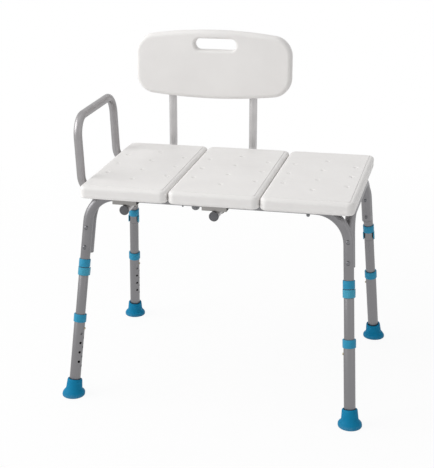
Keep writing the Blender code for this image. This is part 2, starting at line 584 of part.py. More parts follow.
# hand loop at the left end
corners = [(-ARM_END, -ARM_Y, Z_ARM_RUN), (-ARM_X, -ARM_Y, Z_ARM_RUN),
           (ARM_TOP_X, -ARM_Y, Z_ARM_TOP), (ARM_TOP_X, ARM_Y, Z_ARM_TOP),
           (-ARM_X, ARM_Y, Z_ARM_RUN), (-ARM_END, ARM_Y, Z_ARM_RUN)]
bm = bmesh.new()
tube(bm, bent(corners, BEND_ARM), R_ARM, (0, 1, 0))
loop = finish("arm_loop", bm, "aluminium", (-ARM_END, 0, Z_ARM_RUN))
for end, sy in (("front", -1), ("rear", 1)):
    y = sy * ARM_Y
    bm = bmesh.new()
    turn(bm, (-ARM_END, y, Z_ARM_RUN), (1, 0, 0),          # end plug with a small vent
         ((-0.010, R_VENT), (-0.010, R_ARM - WALL / 2), (0.0022, R_ARM - WALL / 2),
          (0.0028, R_ARM - WALL - 0.0006), (0.0028, R_VENT)), SEG, (0, 1, 0), hollow=True)
    join(loop, bm)
    ri = R_ARM + GAP
    ro, ear, zf = ri + HOOP_T, ri + HOOP_T + STRAP_EAR, Z_BOT - GAP
    section = [(-ear, zf), (-ear, zf - HOOP_T), (-ro, zf - HOOP_T)]
    section += [(u, Z_ARM_RUN + w) for u, w in half_round(ro)]
    section += [(ro, zf - HOOP_T), (ear, zf - HOOP_T), (ear, zf), (ri, zf)]
    section += [(u, Z_ARM_RUN + w) for u, w in reversed(half_round(ri))] + [(-ri, zf)]
    bm = bmesh.new()
    skin(bm, [[Vector((-STRAP_X + dx, y + u, zz)) for u, zz in section]
              for dx in (-STRAP_L / 2, STRAP_L / 2)])
    strap = finish(f"arm_strap_{end}", bm, "aluminium")
    bm = bmesh.new()
    for s in (-1, 1):
        turn(bm, (-STRAP_X, y + s * STRAP_DY, zf - HOOP_T), Z_AXIS,
             ((-0.0016, 0.0020), (-0.0008, 0.0034), (0.0002, 0.0036), (0.0002, 0.0017),
              (HOOP_T + 0.0140, 0.0017)), 8)
    join(strap, bm)

# empties that carry the pieces that move together
for name, (at, pieces) in groups.items():
    empty = bpy.data.objects.new(name, None)
    empty.location = at
    bpy.context.scene.collection.objects.link(empty)
    for ob in pieces:
        ob.parent = empty
        ob.location = ob.location - Vector(at)
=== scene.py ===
import json
import math

import bmesh
import bpy
import numpy as np
from mathutils import Matrix, Vector


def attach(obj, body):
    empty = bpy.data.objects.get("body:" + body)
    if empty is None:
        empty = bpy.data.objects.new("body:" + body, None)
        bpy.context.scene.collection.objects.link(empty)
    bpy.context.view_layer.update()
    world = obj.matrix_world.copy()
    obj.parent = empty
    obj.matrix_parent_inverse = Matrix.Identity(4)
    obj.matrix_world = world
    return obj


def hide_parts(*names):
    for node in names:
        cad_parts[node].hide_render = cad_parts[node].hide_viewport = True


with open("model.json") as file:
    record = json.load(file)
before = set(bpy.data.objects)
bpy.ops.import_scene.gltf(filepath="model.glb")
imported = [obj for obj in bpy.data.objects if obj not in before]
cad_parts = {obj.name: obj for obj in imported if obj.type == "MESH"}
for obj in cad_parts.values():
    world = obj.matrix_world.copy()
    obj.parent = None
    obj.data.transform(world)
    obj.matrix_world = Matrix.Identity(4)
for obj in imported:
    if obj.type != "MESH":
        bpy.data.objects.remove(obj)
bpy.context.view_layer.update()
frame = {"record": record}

# legs: a leg's line meets the floor at LEG and leans in by LEAN for each metre of height
LEG_X, LEG_Y = 0.3609, 0.2807
LEAN_X, LEAN_Y = 0.0667, 0.1781
ENDS = {"front": -1, "rear": 1}
LEGS = {"front_left": (-1, -1), "front_right": (1, -1), "rear_left": (-1, 1), "rear_right": (1, 1)}

# tubes
R_FRAME, R_LOWER, R_BACK, R_ARM = 0.0127, 0.0143, 0.0111, 0.0110
WALL = 0.0012
FIT = 0.0003  # gap between pieces that fit or touch
SIDES, BEND_STEPS = 40, 12  # facets round a tube and along a bend
BEND_RAIL, BEND_SIDE, BEND_BACK, BEND_ARM = (0.0733, 0.0850), 0.0523, 0.0628, 0.050

# seat
Z_SEAT, PANEL_T = 0.5563, 0.0330
PANEL_W, PANEL_D, PANEL_GAP = 0.2276, 0.4594, 0.0026
PANEL_CORNER, RIM_ROUND, UNDER_ROUND = 0.0190, 0.0100, 0.0075
PANEL_SWELL = 0.0006  # the rounded sides stand this much outside the solid's
FIELD_IN, FIELD_BAND, FIELD_SLOPE, FIELD_UP = 0.0024, 0.0004, 0.0010, 0.0013
SEAM_UP, SEAM_W, SEAM_DEEP = 0.0128, 0.0020, 0.0009
HOLE_DX, HOLE_DY, HOLE_R, DISH_R, DISH_DEEP = 0.0795, 0.0895, 0.0020, 0.0080, 0.0018
FUNNEL_R, FUNNEL_H = 0.0085, 0.0120
Z_BOT = Z_SEAT - PANEL_T
Z_RAIL = Z_BOT
PANEL_PITCH = PANEL_W + PANEL_GAP
GROOVE_AIR = 0.0005

# frame
SIDE_DROP, SIDE_STEP = {-1: 0.0340, 1: 0.0185}, 0.0257
Z_SIDE = {side: Z_RAIL - drop for side, drop in SIDE_DROP.items()}
Z_SIDE_END = {-1: 0.3700, 1: 0.3835}
Z_SCREWS = {-1: (0.4400, 0.3900), 1: (0.4515, 0.4015)}
Z_SEAM = 0.3172
RAIL_Y = LEG_Y - LEAN_Y * Z_RAIL
RISE = 1 / math.sqrt(1 + LEAN_X ** 2 + LEAN_Y ** 2)

# collars, clips and leg tubes
CLIP_H, RING_H, RING_T, CLIP_T, CLIP_WING = 0.0200, 0.0203, 0.0019, 0.0024, 0.0078
Z_CLIP = Z_SEAM + 0.0008
Z_RING = Z_CLIP + CLIP_H * RISE + 0.0017
Z_BUTTON, PITCH, HOLES = 0.1791, 0.0254, 5
R_BUTTON, BUTTON_OUT = 0.0031, 0.0030
MIDDLE_BELOW, NECK_UP, NECK_IN = 0.0325, 0.0450, 0.0040
COLLAR_H, COLLAR_T, COLLAR_ABOVE, COLLAR_LIP = 0.0206, 0.0020, 0.0365, 0.0018
Z_COLLAR = Z_BUTTON + COLLAR_ABOVE - COLLAR_H * RISE
FOOT_R, FOOT_H, FOOT_FLOOR = 0.0298, 0.0435, 0.0100
FOOT_FLAT, FOOT_TURN = 0.0085, 0.0110  # level up to here, then over this height it leans

# backrest
BACK_X = (-0.2284, 0.0018)
Y_BACK_FRONT, Y_POST, POST_H = -0.2130, 0.2669, 0.2500
BP_X, BP_W, BP_H, BP_T = -0.1090, 0.4380, 0.1889, 0.0270
BP_Z = Z_SEAT + 0.2237
BP_CORNER, BP_SLICES, BP_SCREWS = 0.046, 14, (-0.050, 0.012)
CROWN_TOP, CROWN_LOW, CROWN_FULL = 0.0200, 0.0160, 0.6
SLOT_X, SLOT_Z, SLOT_L, SLOT_H, SLOT_BACK = -0.1012, BP_Z + 0.0563, 0.117, 0.0314, 0.0030

# saddles under the seat
PLATE_W, PLATE_T, PLATE_IN = 0.0628, 0.0012, 0.1280
HOOP_Y, HOOP_L, HOOP_T, HOOP_EAR = 0.1413, 0.0160, 0.0016, 0.0075
BACK_AIR, SADDLE_DX = 0.0018, 0.0220
PLUG_OVER, PLUG_T = 0.0013, 0.0042
Z_PLATE = Z_RAIL - R_FRAME - FIT - PLATE_T
PLATE_LIP = Z_BOT - FIT - Z_PLATE
Z_BACK_RUN = Z_PLATE - BACK_AIR - R_BACK
PLATE_OUT = {-1: -Y_BACK_FRONT - FIT, 1: Y_POST - BEND_BACK - FIT}

# hand loop
ARM_Y, ARM_X, ARM_END, ARM_LEAN, ARM_AIR = 0.1476, 0.3612, 0.2634, 0.0437, 0.0015
Z_ARM_RUN = Z_BOT - ARM_AIR - R_ARM
Z_ARM_TOP = Z_SEAT + 0.1518
ARM_TOP_X = -(ARM_X + ARM_LEAN * (Z_ARM_TOP - Z_ARM_RUN))
STRAP_X, STRAP_L, STRAP_EAR, STRAP_DY, STRAP_T = 0.2770, 0.0200, 0.0125, 0.0190, 0.0016
NOTCH_AIR = 0.0008

# small hardware
NUT_X, TIP_X = 0.2295, -0.0837
KNOB_X, KNOB_Y, KNOB_R, KNOB_H, KNOB_DROP = -0.0649, -0.1308, 0.0105, 0.0185, 0.0225
R_STUD, KNOB_GRIPS = 0.0030, 8
RECESS = 0.0004  # half the width of a cross recess
Z_UNDER_RAIL = Z_RAIL - R_FRAME - FIT

# camera and picture
PICTURE_W, PICTURE_H = 434, 468
CAMERA_AT = (0.62466, -2.87630, 1.38945)
YAW, PITCH_DOWN, ROLL = 0.28485, 0.34811, -0.01951
FOCAL_PX, CENTRE_PX, SENSOR_MM = 1169.69, (153.343, 255.015), 36

# light: each lamp's place, aim, size and watts
LAMPS = {"key": ((-3.4, -1.2, 2.6), (0, 0, 0.45), (3.0, 2.6), 92),
         "top": ((-0.2, 0.1, 4.6), (0, 0, 0.4), (3.0, 3.0), 10),
         "right": ((3.6, -1.6, 1.8), (0, 0, 0.5), (2.0, 2.0), 4)}
FLOOR_SIZE = 60
FLOOR_FADE = (0.8, 2.2, 0.91, 1.0)  # from near the bench to far off, how white it shows
WORLD_SIDES = (-0.3, 0.9, 0.80, 0.38)  # from the room's left to its right, its strength

record = frame["record"]
BODY = {n: body for body, nodes in record["behaviour"]["bodies"].items() for n in nodes}
SLOT = {s["node"]: s["material_slot"] for s in record["subparts"]}


def leg_point(leg, z):
    """The point on a leg's line at height z."""
    sx, sy = LEGS[leg]
    return Vector((sx * (LEG_X - LEAN_X * z), sy * (LEG_Y - LEAN_Y * z), z))


def leg_frame(leg):
    """Unit axis (up), direction in towards the other side, direction out to front or back."""
    axis = (leg_point(leg, 1.0) - leg_point(leg, 0.0)).normalized()
    across = (Vector((1, 0, 0)) - axis * axis.x).normalized()
    return axis, across * -LEGS[leg][0], axis.cross(across) * LEGS[leg][1]


def leg_place(leg, z, facing="inward"):
    """Matrix that sets a piece modelled about +Z on a leg, its +X inward or out."""
    axis, inward, out = leg_frame(leg)
    x = inward if facing == "inward" else out
    m = Matrix((x, axis.cross(x), axis)).transposed().to_4x4()
    m.translation = leg_point(leg, z)
    return m


def aimed(at, up, towards):
    """Matrix that sets a piece modelled about +Z at a point, +Z along up and +X towards."""
    z = Vector(up).normalized()
    x = (Vector(towards) - z * z.dot(Vector(towards))).normalized()
    m = Matrix((x, z.cross(x), z)).transposed().to_4x4()
    m.translation = Vector(at)
    return m


# modelling by hand

def clear():
    if bpy.context.object and bpy.context.object.mode != "OBJECT":
        bpy.ops.object.mode_set(mode="OBJECT")
    bpy.ops.object.select_all(action="DESELECT")


def active(ob):
    clear()
    ob.select_set(True)
    bpy.context.view_layer.objects.active = ob
    return ob


def settled():
    """Apply the new primitive's place and return it."""
    bpy.ops.object.transform_apply(location=True, rotation=True, scale=True)
    return bpy.context.object


def edit(ob):
    active(ob)
    bpy.ops.object.mode_set(mode="EDIT")
    bpy.ops.mesh.select_mode(type="VERT")
    bpy.ops.mesh.select_all(action="SELECT")


def pick(ob, kind, test):
    """In edit mode, select the vertices, edges or faces that pass a test."""
    bpy.ops.mesh.select_mode(type=kind)
    bpy.ops.mesh.select_all(action="DESELECT")
    bm = bmesh.from_edit_mesh(ob.data)
    for item in {"VERT": bm.verts, "EDGE": bm.edges, "FACE": bm.faces}[kind]:
        if test(item):
            item.select_set(True)
    bm.select_flush_mode()
    bmesh.update_edit_mesh(ob.data)


def level(z, axis=2, slack=2e-5):
    """Test for edges that lie in the plane where one coordinate has one value."""
    return lambda e: all(abs(v.co[axis] - z) < slack for v in e.verts)


def runs_along(axis, length=0.01):
    """Test for edges that run far enough along one axis."""
    return lambda e: abs(e.verts[0].co[axis] - e.verts[1].co[axis]) > length


def rounded(ob, test, offset, segments):
    """Round the edges that pass a test."""
    pick(ob, "EDGE", test)
    bpy.ops.mesh.bevel(offset=offset, segments=segments, affect="EDGES")


def inset(ob, test, steps):
    """Inset the faces that pass a test, each step by a width and a height."""
    pick(ob, "FACE", test)
    for thickness, depth in steps:
        bpy.ops.mesh.inset(thickness=thickness, depth=depth)


def sliced(at, way):
    """In edit mode, cut the surface along a plane."""
    bpy.ops.mesh.select_all(action="SELECT")
    bpy.ops.mesh.bisect(plane_co=at, plane_no=way)


def modify(ob, kind, **values):
    """Give the piece a modifier and apply it."""
    active(ob)
    mod = ob.modifiers.new(kind.lower(), kind)
    for key, value in values.items():
        setattr(mod, key, value)
    bpy.ops.object.modifier_apply(modifier=mod.name)


def soften(ob, width=0.0003, segments=2, angle=40):
    """Round the sharp edges."""
    modify(ob, "BEVEL", width=width, segments=segments, limit_method="ANGLE",
           angle_limit=math.radians(angle))


def remove(*obs):
    for ob in obs:
        bpy.data.objects.remove(ob, do_unlink=True)


def cut(ob, cutter, how="DIFFERENCE"):
    """Cut one piece out of another, or join it on, and throw the second away."""
    modify(ob, "BOOLEAN", object=cutter, operation=how, solver="EXACT", use_self=True)
    remove(cutter)
    return ob


def crossed(ob, arm, low, high):
    """Cut a cross recess between two heights."""
    for x, y in ((arm, RECESS), (RECESS, arm)):
        cut(ob, block((-x, -y, low), (x, y, high)))
    return ob


def together(obs):
    """Several pieces made one object."""
    active(obs[0])
    for ob in obs[1:]:
        ob.select_set(True)
    bpy.ops.object.join()
    return bpy.context.object


def placed(ob, place):
    """Set a piece by a matrix, or at a point, and apply it."""
    active(ob)
    ob.matrix_world = place if isinstance(place, Matrix) else Matrix.Translation(place)
    return settled()


def copy_of(model, place=(0, 0, 0)):
    active(model)
    bpy.ops.object.duplicate()
    return placed(bpy.context.object, place)


def block(low, high):
    clear()
    low, high = Vector(low), Vector(high)
    bpy.ops.mesh.primitive_cube_add(size=1, location=(low + high) / 2, scale=high - low)
    return settled()


def ring(at, axis, r, sides=SIDES, filled=False):
    """A circle of edges square to an axis, open for editing."""
    clear()
    turn = Vector(axis).to_track_quat("Z", "X").to_euler()
    bpy.ops.mesh.primitive_circle_add(vertices=sides, radius=r, location=at, rotation=turn,
                                      fill_type="NGON" if filled else "NOTHING")
    ob = settled()
    edit(ob)
    return ob


def push(step):
    """Extrude the selected open edges."""
    bpy.ops.mesh.extrude_edges_move(TRANSFORM_OT_translate={"value": tuple(step)})


def pull(step):
    """Extrude the selected faces."""
    bpy.ops.mesh.extrude_region_move(TRANSFORM_OT_translate={"value": tuple(step)})


def outward(ob, doubles=1e-6):
    """Close the doubles, turn the faces out and leave edit mode."""
    bpy.ops.mesh.select_all(action="SELECT")
    bpy.ops.mesh.remove_doubles(threshold=doubles)
    bpy.ops.mesh.normals_make_consistent()
    clear()
    return ob


def rod(at, way, length, r, sides):
    """A straight round bar from a point, one length along a direction."""
    ob = ring(at, way, r, sides, filled=True)
    pull(Vector(way) * length)
    return outward(ob)


def bent_bar(corners, bends, r, capped=True, sides=SIDES):
    """A round bar pushed along straight runs and spun round its bends."""
    pts = [Vector(p) for p in corners]
    here, ob = pts[0], ring(pts[0], pts[1] - pts[0], r, sides)
    for before, corner, after, bend in zip(pts, pts[1:], pts[2:], bends):
        d1, d2 = (corner - before).normalized(), (after - corner).normalized()
        back = bend * math.tan(d1.angle(d2) / 2)
        start, side = corner - d1 * back, (d2 - d1 * d1.dot(d2)).normalized()
        push(start - here)
        bpy.ops.mesh.spin(steps=BEND_STEPS, angle=-d1.angle(d2), center=start + side * bend,
                          axis=d1.cross(d2))
        here = corner + d2 * back
    push(pts[-1] - here)
    if capped:
        for end in (pts[0], pts[-1]):
            pick(ob, "EDGE", lambda e: e.is_boundary
                 and all((v.co - end).length < r * 1.01 for v in e.verts))
            bpy.ops.mesh.edge_face_add()
    return outward(ob)


def bent_tube(corners, bends, r):
    """A bent bar with a bore and lightly deburred ends."""
    ob = bent_bar(corners, bends, r, capped=False)
    modify(ob, "SOLIDIFY", thickness=WALL, offset=-1.0)
    soften(ob)
    lay_grain(ob, corners, bends)
    return ob


def turned(profile, sides=36):
    """A round piece about +Z: its half section is drawn point by point, then spun."""
    clear()
    bpy.ops.mesh.primitive_plane_add(size=0.01)
    ob = bpy.context.object
    edit(ob)
    bpy.ops.mesh.merge(type="CENTER")
    bpy.ops.transform.translate(value=(profile[0][0], 0, profile[0][1]))
    for (r0, z0), (r1, z1) in zip(profile, profile[1:]):
        bpy.ops.mesh.extrude_vertices_move(TRANSFORM_OT_translate={"value": (r1 - r0, 0, z1 - z0)})
    bpy.ops.mesh.select_all(action="SELECT")
    bpy.ops.mesh.spin(steps=sides, angle=2 * math.pi, center=(0, 0, 0), axis=(0, 0, 1))
    return outward(ob, 1e-5)


def drawn(outline, height):
    """A flat outline in X and Y, filled and pulled up along Z."""
    clear()
    bpy.ops.mesh.primitive_circle_add(vertices=len(outline), fill_type="NGON")
    ob = bpy.context.object
    edit(ob)
    bm = bmesh.from_edit_mesh(ob.data)
    for v, (x, y) in zip(bm.verts, outline):
        v.co = (x, y, 0)
    bmesh.update_edit_mesh(ob.data)
    pull((0, 0, height))
    return outward(ob)


def arc(r, start, stop, steps, at=(0, 0)):
    """Points along an arc, in degrees."""
    turns = [math.radians(start + (stop - start) * k / steps) for k in range(steps + 1)]
    return [(at[0] + r * math.cos(a), at[1] + r * math.sin(a)) for a in turns]


def drilled(ob, holes, r, start=0.002, depth=0.02, sides=20):
    """Cut a round hole for each point and direction."""
    return cut(ob, together([rod(Vector(at) + Vector(way) * start, way, depth, r, sides)
                             for at, way in holes]))


def path_samples(corners, bends, step=0.004, bend_steps=24):
    """Points and directions along a bent tube's centre line, with the length run so far."""
    pts = [Vector(p) for p in corners]
    out, run, here = [], 0.0, pts[0]

    def straight(a, b):
        nonlocal run
        length = (b - a).length
        count = max(1, int(length / step))
        out.extend((a.lerp(b, k / count), (b - a).normalized(), run + length * k / count)
                   for k in range(count))
        run += length

    for before, corner, after, bend in zip(pts, pts[1:], pts[2:], bends):
        d1, d2 = (corner - before).normalized(), (after - corner).normalized()
        phi = d1.angle(d2)
        back, side = bend * math.tan(phi / 2), (d2 - d1 * d1.dot(d2)).normalized()
        start = corner - d1 * back
        straight(here, start)
        for k in range(bend_steps):
            b = phi * k / bend_steps
            out.append((start + side * bend * (1 - math.cos(b)) + d1 * bend * math.sin(b),
                        d1 * math.cos(b) + side * math.sin(b), run + bend * b))
        run += bend * phi
        here = corner + d2 * back
    straight(here, pts[-1])
    return out


def lay_grain(ob, corners, bends):
    """Store where each point would lie if the tube were straight, for the drawn grain."""
    samples = path_samples(corners, bends)
    at, way, run = (np.array([s[k] for s in samples]) for k in range(3))
    u, prev, side = samples[0][1].orthogonal().normalized(), samples[0][1], []
    for _, t, _ in samples:
        u = prev.rotation_difference(t) @ u
        prev = t
        side.append(u.copy())
    side = np.array(side)
    co = np.empty(len(ob.data.vertices) * 3)
    ob.data.vertices.foreach_get("co", co)
    co = co.reshape(-1, 3)
    near = ((co[:, None, :] - at[None]) ** 2).sum(-1).argmin(1)
    off = co - at[near]
    x = (off * side[near]).sum(1)
    y = (off * np.cross(way[near], side[near])).sum(1)
    z = run[near] + (off * way[near]).sum(1)
    attr = ob.data.attributes.new("along_tube", "FLOAT_VECTOR", "POINT")
    attr.data.foreach_set("vector", np.stack([x, y, z], 1).ravel())


# looks

def node_group(name, outputs, **inputs):
    """A shader node group of a vector and named values; returns it with its open sockets."""
    tree = bpy.data.node_groups.new(name, "ShaderNodeTree")
    socket = tree.interface.new_socket
    socket("Vector", in_out="INPUT", socket_type="NodeSocketVector")
    for label, value in inputs.items():
        socket(label, in_out="INPUT", socket_type="NodeSocketFloat").default_value = value
    for label in outputs:
        socket(label, in_out="OUTPUT", socket_type="NodeSocketFloat")
    here, out = tree.nodes.new("NodeGroupInput"), tree.nodes.new("NodeGroupOutput")
    return tree, here.outputs[:len(inputs) + 1], out.inputs


def add(tree, kind, inputs=None, **values):
    """A node with its settings, and its sockets linked or set."""
    node = tree.nodes.new("ShaderNode" + kind)
    for key, value in values.items():
        setattr(node, key, value)
    for key, value in (inputs or {}).items():
        if isinstance(value, bpy.types.NodeSocket):
            tree.links.new(value, node.inputs[key])
        else:
            node.inputs[key].default_value = value
    return node


def maths(tree, how, a, b=0.0, c=0.0):
    return add(tree, "Math", {0: a, 1: b, 2: c}, operation=how).outputs[0]


def times(tree, a, b):
    return maths(tree, "MULTIPLY", a, b)


def noise(tree, vector, scale, detail, roughness=0.5):
    return add(tree, "TexNoise", {"Vector": vector, "Scale": scale, "Detail": detail,
                                  "Roughness": roughness}).outputs


def spread(tree, value, low, high, to_low=0.0, to_high=1.0):
    """Map a value from one range to another, clamped."""
    return add(tree, "MapRange", {"Value": value, "From Min": low, "From Max": high,
                                  "To Min": to_low, "To Max": to_high}).outputs[0]


def giving(tree, out, **sockets):
    """Link the results of a group to its open sockets."""
    for label, socket in sockets.items():
        tree.links.new(socket, out[label])
    return tree


def make_moulded_grain():
    """Fine pebbled mould texture, broad mottling and soft cloudy gloss."""
    tree, (vector, fine, cloud), out = node_group("Moulded grain", ("Height", "Mottle", "Gloss"),
                                                  Fineness=900.0, Cloud=9.0)
    pebble = add(tree, "TexVoronoi", {"Vector": vector, "Scale": fine}, feature="SMOOTH_F1")
    pebble.inputs["Smoothness"].default_value = 0.6
    dust = noise(tree, vector, times(tree, fine, 2.3), 2.0)
    height = maths(tree, "MULTIPLY_ADD", pebble.outputs["Distance"], 0.7,
                   times(tree, dust[0], 0.3))
    broad = noise(tree, vector, cloud, 3.0)
    patch = noise(tree, vector, times(tree, cloud, 7.0), 4.0, 0.6)
    return giving(tree, out, Height=height, Mottle=spread(tree, broad[0], 0.32, 0.68),
                  Gloss=spread(tree, patch[0], 0.3, 0.7))


def make_drawn_finish():
    """Faint die lines along a tube under an etched satin skin."""
    tree, (vector, fine, stretch), out = node_group("Drawn finish", ("Height", "Tone", "Gloss"),
                                                    Fineness=1500.0, Stretch=0.012)
    squeeze = add(tree, "CombineXYZ", {"X": 1.0, "Y": 1.0, "Z": stretch})
    drawn_out = add(tree, "VectorMath", {0: vector, 1: squeeze.outputs[0]}, operation="MULTIPLY")
    lines = noise(tree, drawn_out.outputs[0], fine, 3.0, 0.65)
    satin = noise(tree, vector, times(tree, fine, 1.6), 2.0)
    clouds = noise(tree, vector, 22.0, 4.0, 0.6)
    height = maths(tree, "MULTIPLY_ADD", lines[0], 0.65, times(tree, satin[0], 0.35))
    return giving(tree, out, Height=height, Tone=spread(tree, clouds[0], 0.3, 0.7),
                  Gloss=spread(tree, lines[0], 0.3, 0.7))


def make_scuffs():
    """Thin handling marks, in patches."""
    tree, (vector, size, amount), out = node_group("Scuffs", ("Mask",), Size=60.0, Amount=0.5)
    warp = noise(tree, vector, size, 2.0)
    moved = add(tree, "VectorMath", {0: warp[1], 1: (0.02, 0.02, 0.02)}, operation="MULTIPLY")
    place = add(tree, "VectorMath", {0: vector, 1: moved.outputs[0]}, operation="ADD")
    cracks = add(tree, "TexVoronoi", {"Vector": place.outputs[0], "Scale": size},
                 feature="DISTANCE_TO_EDGE")
    thin = spread(tree, cracks.outputs["Distance"], 0.0, 0.012, 1.0, 0.0)
    patch = noise(tree, vector, times(tree, size, 0.3), 1.0)
    where = spread(tree, patch[0], 0.55, 0.7)
    return giving(tree, out, Mask=times(tree, times(tree, thin, where), amount))


def make_floor_dust():
    """Pale dust that fades out above the floor."""
    tree, (vector, reach), out = node_group("Floor dust", ("Mask",), Reach=0.012)
    height = add(tree, "SeparateXYZ", {0: vector}).outputs["Z"]
    fade = spread(tree, maths(tree, "DIVIDE", height, reach), 0.0, 1.0, 1.0, 0.0)
    speck = noise(tree, vector, 320.0, 4.0)
    return giving(tree, out, Mask=times(tree, fade, spread(tree, speck[0], 0.4, 0.75)))


MOULDED, DRAWN = make_moulded_grain(), make_drawn_finish()
SCUFFS, DUST = make_scuffs(), make_floor_dust()


def use_group(tree, group, vector, **values):
    return add(tree, "Group", {"Vector": vector, **values}, node_tree=group)


def blank(name, rough, metal=0.0, specular=0.5):
    """A new material with its Principled shader; returns both and where the surface is."""
    mat = bpy.data.materials.new(name)
    mat.use_nodes = True
    shader = mat.node_tree.nodes["Principled BSDF"]
    for key, value in (("Roughness", rough), ("Metallic", metal),
                       ("Specular IOR Level", specular)):
        shader.inputs[key].default_value = value
    return mat, shader, add(mat.node_tree, "TexCoord").outputs["Object"]


def blend_colour(tree, mask, low, high):
    low, high = (v if isinstance(v, bpy.types.NodeSocket) else (*v, 1.0) for v in (low, high))
    return add(tree, "Mix", {"Factor": mask, 6: low, 7: high}, data_type="RGBA").outputs[2]


def relief(tree, shader, height, strength, distance):
    bump = add(tree, "Bump", {"Height": height, "Strength": strength, "Distance": distance})
    tree.links.new(bump.outputs[0], shader.inputs["Normal"])


def plastic(name, low, high, rough, fineness, strength, scuffed=0.25, dusty=False, shine=0.5):
    """Moulded plastic or rubber: mottled colour, pebbled skin and a few scuffs."""
    mat, shader, place = blank(name, rough, specular=shine)
    tree = mat.node_tree
    grain = use_group(tree, MOULDED, place, Fineness=fineness)
    marks = use_group(tree, SCUFFS, place, Amount=scuffed)
    colour = blend_colour(tree, grain.outputs["Mottle"], low, high)
    light = tuple(min(1.0, 0.25 + c * 0.9) for c in high)
    colour = blend_colour(tree, marks.outputs["Mask"], colour, light)
    if dusty:
        dust = use_group(tree, DUST, place)
        colour = blend_colour(tree, times(tree, dust.outputs["Mask"], 0.35), colour,
                              (0.42, 0.40, 0.37))
    tree.links.new(colour, shader.inputs["Base Color"])
    gloss = spread(tree, grain.outputs["Gloss"], 0.0, 1.0, rough - 0.04, rough + 0.05)
    tree.links.new(maths(tree, "MULTIPLY_ADD", marks.outputs["Mask"], 0.2, gloss),
                   shader.inputs["Roughness"])
    relief(tree, shader, grain.outputs["Height"], strength, 0.0004)
    return mat


def satin_metal(name, low, high, rough, strength, tube=True):
    """Anodised tube with drawn lines along it, or plain satin plate."""
    mat, shader, place = blank(name, rough, 1.0)
    tree = mat.node_tree
    if tube:
        place = add(tree, "Attribute", attribute_name="along_tube").outputs["Vector"]
    finish = use_group(tree, DRAWN, place, Stretch=0.012 if tube else 0.6)
    marks = use_group(tree, SCUFFS, place, Size=45.0, Amount=0.35)
    colour = blend_colour(tree, finish.outputs["Tone"], low, high)
    colour = blend_colour(tree, marks.outputs["Mask"], colour, tuple(c * 0.8 for c in low))
    tree.links.new(colour, shader.inputs["Base Color"])
    tree.links.new(spread(tree, finish.outputs["Gloss"], 0.0, 1.0, rough - 0.05, rough + 0.06),
                   shader.inputs["Roughness"])
    relief(tree, shader, finish.outputs["Height"], strength, 0.0001)
    return mat


LOOKS = {
    "white_plastic": plastic("white moulded plastic", (0.8, 0.783, 0.77), (0.836, 0.82, 0.806),
                             0.5, 950.0, 0.08, 0.06, shine=0.35),
    "blue_plastic": plastic("blue moulded plastic", (0.012, 0.235, 0.4), (0.02, 0.27, 0.445),
                            0.45, 1400.0, 0.06, shine=0.3),
    "clip_plastic": plastic("light blue moulded plastic", (0.04, 0.29, 0.43),
                            (0.052, 0.33, 0.48), 0.45, 1400.0, 0.06, shine=0.3),
    "foot_rubber": plastic("blue rubber", (0.0, 0.175, 0.34), (0.002, 0.205, 0.385), 0.6,
                           1100.0, 0.12, 0.2, dusty=True, shine=0.15),
    "dark_plastic": plastic("grey end plug", (0.105, 0.105, 0.112), (0.13, 0.13, 0.138), 0.5,
                            1300.0, 0.08, shine=0.3),
    "knob_plastic": plastic("slate knob", (0.19, 0.196, 0.206), (0.226, 0.234, 0.244), 0.45,
                            1300.0, 0.08),
    # frame, posts and hand loop are one satin aluminium in three tones: its base colour is painted
    # shade (darker) on the frame and painted reflection (lighter) on the posts and the hand loop
    "frame_aluminium": satin_metal("satin tube", (0.22, 0.216, 0.224), (0.25, 0.246, 0.254),
                                   0.42, 0.04),
    "post_aluminium_painted_light": satin_metal("satin tube painted lighter for the posts", (0.5, 0.49, 0.49), (0.55, 0.54, 0.54),
                                  0.42, 0.04),
    "loop_aluminium_painted_light": satin_metal("satin tube painted lighter for the hand loop", (0.32, 0.31, 0.315), (0.36, 0.35, 0.355),
                                  0.42, 0.04),
    "plate_aluminium": satin_metal("satin plate", (0.3, 0.29, 0.28), (0.34, 0.33, 0.32), 0.42,
                                   0.05, tube=False),
    "screw_steel": satin_metal("plated steel", (0.14, 0.14, 0.15), (0.2, 0.2, 0.21), 0.22,
                               0.03, tube=False),
    "button_brass": satin_metal("plated button", (0.34, 0.3, 0.21), (0.4, 0.36, 0.26), 0.28,
                                0.03, tube=False),
}


def dress(ob, node, look=None, angle=32):
    """Shade a finished piece, give it its look and let it stand for its solid."""
    active(ob)
    bpy.ops.object.shade_smooth_by_angle(angle=math.radians(angle))
    ob.name = ob.data.name = "fine_" + node
    if not ob.data.materials:
        ob.data.materials.append(None)
    ob.data.materials[0] = LOOKS[look or SLOT[node]]
    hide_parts(node)
    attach(ob, BODY[node])


def two_looks(pieces, extras, second):
    """Join small parts on the pieces and give them a look of their own; dress sets the first."""
    count = sum(len(ob.data.polygons) for ob in pieces)
    ob = together(pieces + extras)
    index = np.zeros(len(ob.data.polygons), dtype=np.int32)
    index[count:] = 1
    ob.data.materials.clear()
    for _ in range(2):
        ob.data.materials.append(LOOKS[second])
    ob.data.polygons.foreach_set("material_index", index)
    return ob


def flat_fields(ob):
    """Let the large faces keep their own normals where a round edge meets them."""
    modify(ob, "WEIGHTED_NORMAL", mode="FACE_AREA", weight=50, keep_sharp=True)


# frame tubes

def rail_corners(end):
    return [leg_point(end + side, z) for side, z in
            (("_left", Z_SEAM), ("_left", Z_RAIL), ("_right", Z_RAIL), ("_right", Z_SEAM))]


def side_corners(front, rear):
    out_points = []
    z_end, z_top = Z_SIDE_END[LEGS[front][0]], Z_SIDE[LEGS[front][0]]
    for leg, z in ((front, z_end), (front, z_top), (rear, z_top), (rear, z_end)):
        axis, _, out = leg_frame(leg)
        p = leg_point(leg, z) - out * SIDE_STEP
        out_points.append(p + axis * ((z - p.z) / RISE))
    return out_points


